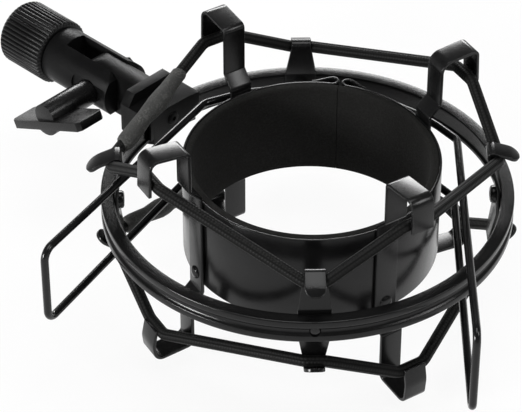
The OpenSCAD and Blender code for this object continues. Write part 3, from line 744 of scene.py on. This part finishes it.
class HOLDER_OT_band(Step):
    """Spring-steel band in two halves that meet unseen at the front, each ending in a folded eye"""
    bl_idname = "holder.band"
    bl_label = "Clamp band"

    def build(self, s):
        t, h, mid = s.band_sheet, s.band_height / 2, s.band_in + s.band_sheet / 2
        roll, eye = s.eye_in + t / 2, polar(s.eye_r, s.eye_az)
        arc = [polar(mid, 180 - (180 - s.eye_az) * i / 96) for i in range(97)]
        curl = [eye + polar(roll, s.eye_az + 180 + 198 * i / 24) for i in range(25)]
        tail = [polar(s.band_out + t / 2 + 0.03, k) for k in (11.5, 12.5)]
        loop = curl + [curl[-1] + (tail[0] - curl[-1]) * k for k in (0.25, 0.5, 0.75)] + tail
        room = s.wire / 2 + 0.7
        parts = [wall(arc, t, -h, h, 0.22)]
        for z0, z1 in ((-h, -LEVER_Z - room), (room - LEVER_Z, LEVER_Z - room), (LEVER_Z + room, h)):
            parts.append(wall(loop, t, z0, z1, 0.2))
        for side, label in SIDES:
            mesh = on_split(joined(parts), s, side)
            obj = piece("band_" + label, mesh, "band", None, "clamp_band", 45)
            jaw_bend(obj)


class HOLDER_OT_foam(Step):
    """Foam lining in two halves with rounded rims"""
    bl_idname = "holder.foam"
    bl_label = "Foam lining"

    def build(self, s):
        inside, out, h, joint = s.foam_in, s.band_in - FIT, s.band_height / 2, 0.15
        corners = [(inside, -h), (out, -h), (out, h), (inside, h)]
        rims = []
        for i, r in enumerate((0.95, 0.25, 0.25, 0.95)):
            rims += eased(corners[i - 1], corners[i], corners[(i + 1) % 4], r, 5)
        face = [(inside, h - 2 - (2 * h - 4) * i / 12) for i in range(1, 12)]
        outline = face[5:] + rims + face[:5]  # from the middle of the inner face and back to it
        for side, label in SIDES:
            mesh = on_split(lathe(outline, 96, joint, 180 - joint), s, side)
            obj = piece("foam_" + label, mesh, "foam", None, "foam_liner", 50)
            jaw_bend(obj)


class HOLDER_OT_levers(Step):
    """Squeeze levers bent from wire, each hinged in an eye of the band"""
    bl_idname = "holder.levers"
    bl_label = "Levers"

    def build(self, s):
        handle_z, cross_az, pin_z = 16.0, 114.8, 10.4
        band, strap, eye = s.band_out, s.strap_out, polar(s.eye_r, s.eye_az)
        # Azimuths and radii of the wire's course round the band, as far as the bend towards its handle.
        course = [(9, s.eye_r + 0.7), (16, band + 2.6), (26, band + 3.4), (37, band + 4.9), (47, strap + 5.1),
                  (57.9, strap + 7.6)]
        course = [polar(r, az) for az, r in course]
        bend, split = course[-1], radians(s.split)
        for side, label in SIDES:
            reach, low = HANDLES[label]
            shift = s.ring_shift * np.array([sin(split), side * cos(split), 0])
            d = unit(shift + polar(s.ri, cross_az) - bend)
            far = bend + d * (sqrt((bend @ d) ** 2 - bend @ bend + reach ** 2) - bend @ d)
            plan = rounded([eye] + course + [far], [9, 9, 9, 9, 9, 5], 5)
            span = norm(far - bend)
            out = [unit(np.array([g[1], -g[0], 0])) for g in np.gradient(np.array(plan), axis=0)]
            points, dirs = [], []
            for way, high in ((1, handle_z), (-1, low)):
                lift = [max(0.0, span - norm(far - p)) * (high - LEVER_Z) / span for p in plan]
                leg = [p + UP * (LEVER_Z + k) for p, k in zip(plan, lift)][1:-1]
                start = corner(eye, eye + UP * LEVER_Z, leg[0], 2.2, 6)
                turn = corner(leg[-1], far + UP * high, far, 4.0, 9)
                ups = [out[0]] * len(start) + out[1:-1] + [out[-1]] * len(turn)
                points += [p * np.array([1, 1, way]) for p in (start + leg + turn)[::way]]
                dirs += ups[::way]
            wire = tube(points, dirs, s.wire / 2 - 0.05, 16)
            pin = placed(rod(s.wire / 2, 2 * pin_z, "Z", (0, 0, -pin_z), 20), Matrix.Translation(Vector(eye)))
            mesh = joined([on_split(wire, s, side), on_split(pin, s, side)])
            piece("lever_wire_" + label, mesh, "wire", label + "_lever", "lever_" + label, 50)


def cord_turns(s, way):
    """Where a cord bears: at each post, then in the next hook, above (1) or below (-1) the middle."""
    half_neck, half_hook, hook_z = 2.8, 5, 31
    hook_r = HOOK_OUT - s.strap_sheet - 0.3 - s.cord / 2
    post_z = s.post_top - s.post_sheet - s.cord / 2 - 0.45
    share = (post_z - s.shoulder) / (s.post_bend - s.shoulder)
    turns = []
    for (post, post_az), rel in zip(POSTS.items(), STRAPS.values()):
        post_r = s.face + s.cord / 2 - (s.post_mid - post_bend(s, post, way)[0]) * share
        for across in (-half_neck, half_neck):
            turns.append(s.centre + polar(post_r, post_az, way * post_z) + polar(across, post_az + 90))
        for across in (-half_hook, half_hook):
            turns.append(polar(hook_r, s.split + rel, way * hook_z) + polar(across, s.split + rel + 90))
    return turns


def cord_reach(post, before, after):
    """Two points between which a cord goes over from the frame to the cradle: from beside its post towards the
    line through the two hooks it runs to, so that both of its legs stretch evenly along their length."""
    flat, beside, share = np.array([1, 1, 0]), 2.6, 0.92
    post, before, along = post * flat, before * flat, unit((after - before) * flat)
    inwards = before - post - ((before - post) @ along) * along
    return post + unit(inwards) * beside, post + inwards * share


def follow_cord(obj):
    """Bakes the placement of a cord or sleeve piece into its mesh."""
    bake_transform(obj)


class HOLDER_OT_cords(Step):
    """Elastic cords in a zigzag between posts and hooks, and the rubber sleeve over the joint of each"""
    bl_idname = "holder.cords"
    bl_label = "Elastic cords"
    around = 14  # points round a cord
    # Places along a sleeve and the share of its diameter there: it swells over the knotted ends.
    swell = [(0, 0.76), (0.012, 0.88), (0.05, 1.0), (0.13, 1.07), (0.26, 0.97), (0.38, 0.92), (0.47, 1.02),
             (0.56, 1.14), (0.66, 1.06), (0.77, 0.9), (0.9, 0.85), (0.975, 0.86), (0.99, 0.82), (1, 0.76)]

    def build(self, s):
        for way, label in ((1, "upper"), (-1, "lower")):
            v = cord_turns(s, way)
            for i, post in enumerate(POSTS):
                at = [v[(4 * i + k) % len(v)] for k in range(-2, 4)]
                before, after = (at[0] + at[1]) / 2, (at[4] + at[5]) / 2
                reach = cord_reach((at[2] + at[3]) / 2, before, after)
                path = self.course([before] + at[1:5] + [after])
                mesh = tube(path, [UP] * len(path), s.cord / 2, self.around)
                name = label + "_elastic" + post.removeprefix("post")
                obj = piece(name, mesh, "cord", None, label + "_cord", 60)
                self.lay_braid(obj, path)
                follow_cord(obj)
                if post == "post_back_left":
                    self.sleeve(s, at[2], unit(at[1] - at[2]), way, label, reach)

    def course(self, turns):
        """The middle of a cord, straight between its turns and rounded in them."""
        least, tangent, long_run = 2.3, 1.4, 20
        path = [turns[0]]
        for a, b, c in zip(turns, turns[1:], turns[2:]):
            half = acos(float(unit(a - b) @ unit(c - b))) / 2
            path += corner(a, b, c, max(least, tangent * tan(half)), 5)
            if norm(c - b) > long_run:
                path += [b + (c - b) * k for k in np.linspace(0.12, 0.88, 14)]
        return path + [turns[-1]]

    def lay_braid(self, obj, path):
        """UVs of turns round the cord and millimetres along it."""
        run, layer = distances(path), obj.data.uv_layers.new(name="braid")
        for poly in obj.data.polygons:
            spots = [divmod(obj.data.loops[k].vertex_index, self.around) for k in poly.loop_indices]
            last = max(spot for _, spot in spots) == self.around - 1
            for k, (ring, spot) in zip(poly.loop_indices, spots):
                spot = self.around if spot == 0 and last else spot
                layer.data[k].uv = (spot / self.around, run[ring])

    def sleeve(self, s, post, d, way, label, reach):
        """A sleeve that swells to one side where the knotted ends of the cord lie in it."""
        start, length, ripple, lopsided = post + d * 5.6, 36, 0.012, 0.5
        places, shares = zip(*self.swell)
        at = np.unique(np.concatenate([np.linspace(0, 1, 45), places]))
        r = [s.sleeve / 2 * 1.07 * (float(np.interp(k, places, shares)) + ripple * sin(31 * k))
             for k in at]
        bulge = np.array([0.2, -0.8, -0.55 * way])
        bulge = unit(bulge - (bulge @ d) * d)
        points = [start + d * length * k + bulge * lopsided * (q - 0.9 * s.sleeve / 2) for k, q in zip(at, r)]
        mesh = tube(points, [UP] * len(points), r, 24)
        obj = piece(label + "_joint_sleeve", mesh, "sleeve", None, label + "_sleeve", 60)
        follow_cord(obj)


class HOLDER_OT_arm(Step):
    """Arm block that holds the ends of the ring, its tongue, and its screw"""
    bl_idname = "holder.arm"
    bl_label = "Arm"

    def build(self, s):
        out, inside = s.ro + 8.5 + s.ring_shift, s.ri - 0.9
        wide, high, flange_t = 12, 10, 4
        gap, half = s.ring_height / 2 + FIT, s.ring_height / 2 + 1.5
        front = chamfered(wide, high, 3.2, 4.4)
        flange = slab(front[:1] + front[:0:-1], 1, out - flange_t, out)
        body = block((-wide, 40, -half), (wide, out - 2, half))
        r0, r1 = s.ri - FIT, s.ro + FIT
        ring = lathe([(r0, -gap), (r1, -gap), (r1, gap), (r0, gap)], 192, centre=s.centre)
        cuts = [rod(inside, 40, "Z", (0, s.ring_shift, -20), 192), ring,
                rod(PIN_R, 40, "X", (-20, s.pivot, 0), 40)]
        # The lower inner corners are cut off beside the ring.
        for k in (1, -1):
            trim = [(k * (wide + 1), 60), (k * (wide + 1), 69.5), (k * (wide - 5.5), 60)]
            cuts.append(slab(trim[::k], 2, -half - 1, 0.9 - gap))
        mesh = carved(body, cuts, [flange, self.tongue(out - 2, s.pivot)], edge=0.45, steps=3)
        piece("arm_casting", mesh, "casting", "frame", "arm_block")
        seat = sqrt(inside ** 2 - 2.7 ** 2) - 0.02
        head = [(0.01, -0.5), (1.9, -0.45), (2.4, -0.3), (2.68, 0.1), (2.68, 0.6), (2.0, 0.6), (2.0, 9.5),
                (0.01, 9.5)]
        screw = carved(lathe(head, 40), [rod(1.0, 1.0, "Z", (0, 0, -0.7), 6)], edge=0)
        screw = placed(screw, outwards(90, seat, centre=s.centre))
        piece("arm_fixing", screw, "casting", "frame", "arm_screw", 35)

    def tongue(self, start, pivot):
        """A slab cut from a round bar, with its end rounded about the pivot."""
        across, r = np.linspace(-3.9, 3.9, 15), TONGUE_R
        rings = []
        for y in [start, pivot] + [pivot + r * sin(k) for k in np.radians([*range(8, 88, 8), 88])]:
            lid = sqrt(max(0.0, r * r - max(0.0, y - pivot) ** 2))
            top = [(x, y, min(lid, sqrt(r * r - x * x))) for x in across]
            rings.append(top + [(x, y, -z) for x, y, z in reversed(top)])
        return loft(rings)


class HOLDER_OT_swivel(Step):
    """Slotted swivel body, its pivot nut and the washer that keeps the stand nut on"""
    bl_idname = "holder.swivel"
    bl_label = "Swivel"

    def build(self, s):
        p, neck, cheek = s.pivot, 7.2, 9.5
        tip, end = p - 9, p + TONGUE_R + neck + neck
        nut_x, nut_t, nut_r = cheek - 1.6, 3.2, 4.619
        cuts = [block((-4.2, tip - 1, -20), (4.2, end - neck, 20)), rod(PIN_R, 60, "X", (-30, p, 0), 40),
                rod(4.71, 12, "X", (nut_x, p, 0), 6)]
        cuts += [rod(8.3, 20, "X", (x, p, 0), 64) for x in (cheek, -cheek - 20)]
        for z in (-1, 1):
            wedge = [(tip - 4, z * 6.8), (tip - 4, z * 16), (tip + 3.5, z * 16), (tip + 3.5, z * SWIVEL_R),
                     (tip, z * 6.8)]
            cuts.append(slab(wedge, 0, -20, 20))
        spigot = rod(5.95, 5.4, "Y", (0, end, 0), 48)
        mesh = carved(rod(SWIVEL_R, end - tip, "Y", (0, tip, 0), 96), cuts, [spigot], edge=0.5, steps=3)
        piece("swivel_body", mesh, "casting", "swivel", "clevis")
        nut = carved(rod(nut_r, nut_t, "X", (nut_x, p, 0), 6), [rod(PIN_R, 10, "X", (5, p, 0), 40)], edge=0.35)
        piece("pivot_hex", nut, "wire", "swivel", "pivot_nut", 35)
        coat(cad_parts["nut_retainer"], "wire")


class HOLDER_OT_wing(Step):
    """Clamping screw with its flat wing"""
    bl_idname = "holder.wing"
    bl_label = "Wing screw"

    def build(self, s):
        shoulder, stem, stem_r, set_back = 9.8, 22.2, 4.8, 1.0
        wide, long, t, top, cut, hub_r = 12.1, 38.9, 3.2, -1.4, 1.4, 7
        end = -shoulder - stem
        outline = [(end + wide / 2 + a, b) for a, b in chamfered(wide / 2, long / 2, cut, cut)]
        wing = slab(outline, 2, top - t, top)
        bulge = [(hub_r * cos(a), hub_r * sin(a)) for a in np.radians(range(-140, -39, 5))]
        hub = slab(bulge, 0, end + 0.7, end + wide - 0.7)
        thread = rod(2.45, 22, "X", (-shoulder - 0.5, 0, 0), 32)
        mesh = carved(rod(stem_r, stem - set_back, "X", (end + set_back, 0, 0), 64), (), [wing, hub, thread],
                      edge=0.6, steps=3, angle=40)
        turn = Matrix.Translation((0, s.pivot, 0)) @ turned(-25, "X")
        piece("wing_grip", placed(mesh, turn), "grip", "wing", "wing_screw")


class HOLDER_OT_nut(Step):
    """Knurled stand nut with its thread"""
    bl_idname = "holder.nut"
    bl_label = "Stand nut"

    def build(self, s):
        length, web, lead, r, per_tooth = 21.6, 3.0, 0.3, s.nut / 2, 6
        pitch, bore, thread, mouth, knurl = 0.9407, 7.45, 0.48, 0.85, 0.55
        steps, first = s.knurl * per_tooth, web + 2.4

        def ring(z, radius):
            """Points round the nut at a height, with a radius for each step."""
            return [polar(radius(i), 360 * i / steps, z) for i in range(steps)]

        # Radii and heights of the outside, and how much of the knurl's depth is cut there.
        outer = [(6.2, 0.0, 0), (r - 1.6, 0.0, 0), (r - 0.9, 0.08, 0.2), (r - 0.35, 0.5, 0.7), (r, 1.0, 1),
                 (r, length / 2, 1), (r, length - 1.7, 1), (r - 0.35, length - 1.1, 0.8),
                 (r - 0.9, length - 0.4, 0.3), (r - 1.7, length, 0), (8.6, length, 0)]
        rings = [ring(z, lambda i: q - knurl * k * self.groove(i % per_tooth / per_tooth)) for q, z, k in outer]
        for z in np.arange(length - lead, first, -pitch / 5):
            fade = min(1.0, max(0.0, (length - lead - z) / 0.5))
            crest = [abs(2 * ((z / pitch - i / steps) % 1.0) - 1) for i in range(steps)]
            rings.append(ring(z, lambda i: bore + thread * crest[i] * fade + mouth * (1 - fade)))
        for q, z in ((bore + 0.5, first - 0.1), (bore + 0.5, web), (6.0, web), (6.0, 0.3)):
            rings.append(ring(z, lambda i: q))
        turn = Matrix.Translation((0, NUT_Y + s.ring_shift, 0)) @ turned(-90, "X")
        mesh = placed(loft(rings, loop=True), turn)
        piece("nut_knurled", mesh, "powder", "nut", "stand_nut", 55)

    def groove(self, k):
        """Depth of the knurl across one tooth: a flat crown with a narrow rounded groove."""
        return max(0.0, 1 - abs(2 * k - 1) / 0.55)


# The studio, in metres and watts. Each softbox is aimed at the holder, and is given by its azimuth, elevation,
# distance, width, height and power.
SOFTBOXES = {"back_softbox": (43, 21, 1.5, 0.8, 0.36, 14.0), "left_softbox": (164, 15, 1.3, 0.3, 0.3, 16.0),
             "right_softbox": (-68, 40, 1.3, 0.4, 0.4, 4.0), "top_softbox": (-131, 85, 1.3, 0.8, 0.8, 7.0)}
CAMERA_AT, CAMERA_AHEAD = (-0.52825, -0.48072, 0.56753), (0.5651, 0.5394, -0.6243)
SENSOR, LENS = 36, 185.4
FLOOR_DROP = 0.0064  # the clamp can sink by 6 mm in its cords, and the floor lies below that
FLOOR_HALF, FLOOR_GLOW = 6, 0.88
HORIZON, ZENITH, DIM_FROM = 0.5, 0.15, 0.5  # strengths of the light all round, and where it is dimmest


class HOLDER_OT_stage(Step):
    """Pale floor, soft studio light and the camera"""
    bl_idname = "holder.stage"
    bl_label = "Studio"

    def build(self, s):
        self.floor(min(CAD_BOX[0][2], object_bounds()[0][2]) - FLOOR_DROP)
        self.world()
        for name, values in SOFTBOXES.items():
            self.lamp(name, *values)
        cam = linked("camera", bpy.data.cameras.new("camera"))
        cam.location = CAMERA_AT
        cam.rotation_euler = Vector(CAMERA_AHEAD).to_track_quat("-Z", "Y").to_euler()
        cam.data.sensor_fit, cam.data.sensor_width, cam.data.lens = "HORIZONTAL", SENSOR, LENS
        cam.data.clip_start, cam.data.clip_end = 0.05, 20
        bpy.context.scene.camera = cam
        bpy.context.scene.view_settings.view_transform = "Standard"

    def floor(self, z):
        """A wide floor that looks near white and keeps the holder's shadow."""
        mesh = bpy.data.meshes.new("studio_floor")
        corners = ((-1, -1), (1, -1), (1, 1), (-1, 1))
        mesh.from_pydata([(FLOOR_HALF * x, FLOOR_HALF * y, z) for x, y in corners], [], [(0, 1, 2, 3)])
        obj = linked("studio_floor", mesh)
        m = bpy.data.materials.new("studio_white")
        m.use_nodes = True
        t = m.node_tree
        matt = t.nodes["Principled BSDF"]
        white = tuple(bpy.context.scene.holder_finish.floor)
        feed(t, matt, {"Base Color": white, "Roughness": 0.9, "Specular IOR Level": 0.1})
        path = node(t, "LightPath")
        seen = calc(t, "MAXIMUM", path["Is Camera Ray"], path["Is Glossy Ray"])
        share, glow = calc(t, "MULTIPLY", seen, FLOOR_GLOW), node(t, "Emission")[0]
        blend = node(t, "MixShader", {0: share, 1: matt.outputs[0], 2: glow})[0]
        feed(t, t.nodes["Material Output"], {0: blend})
        mesh.materials.append(m)
        obj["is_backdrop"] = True

    def world(self):
        """White light from all round, dimmer from above."""
        w = bpy.data.worlds.new("studio")
        bpy.context.scene.world = w
        w.use_nodes = True
        t = w.node_tree
        height = node(t, "SeparateXYZ", {0: node(t, "TexCoord")["Generated"]})["Z"]
        strength = remap(t, height, 0.0, DIM_FROM, HORIZON, ZENITH)
        feed(t, t.nodes["Background"], {"Color": (1, 1, 1), "Strength": strength})

    def lamp(self, name, az, el, away, wide, high, watts):
        """A softbox turned to the holder."""
        data = bpy.data.lights.new(name, "AREA")
        data.shape, data.size, data.size_y, data.energy = "RECTANGLE", wide, high, watts
        obj = linked(name, data)
        el = radians(el)
        obj.location = polar(away * cos(el), az, away * sin(el))
        obj.rotation_euler = (-obj.location).to_track_quat("-Z", "Y").to_euler()


STEPS = (HOLDER_OT_ring, HOLDER_OT_posts, HOLDER_OT_straps, HOLDER_OT_band, HOLDER_OT_foam, HOLDER_OT_levers,
         HOLDER_OT_cords, HOLDER_OT_arm, HOLDER_OT_swivel, HOLDER_OT_wing, HOLDER_OT_nut, HOLDER_OT_stage)


class HOLDER_PT_panel(bpy.types.Panel):
    """Lists the holder's sizes, colours and building steps"""
    bl_label = "Microphone Holder"
    bl_idname = "HOLDER_PT_panel"
    bl_space_type = "VIEW_3D"
    bl_region_type = "UI"
    bl_category = "Holder"

    def draw(self, context):
        for group in (context.scene.holder_sizes, context.scene.holder_finish):
            box = self.layout.box()
            for name in group.__annotations__:
                box.prop(group, name)
        for step in STEPS:
            self.layout.operator(step.bl_idname)


CLASSES = (HolderSizes, HolderFinish) + STEPS + (HOLDER_PT_panel,)


def register():
    for c in CLASSES:
        bpy.utils.register_class(c)
    bpy.types.Scene.holder_sizes = PointerProperty(type=HolderSizes)
    bpy.types.Scene.holder_finish = PointerProperty(type=HolderFinish)


def unregister():
    del bpy.types.Scene.holder_finish
    del bpy.types.Scene.holder_sizes
    for c in reversed(CLASSES):
        bpy.utils.unregister_class(c)


def main():
    register()
    for step in STEPS:
        group, name = step.bl_idname.split(".")
        getattr(getattr(bpy.ops, group), name)()


if __name__ == "__main__":
    main()
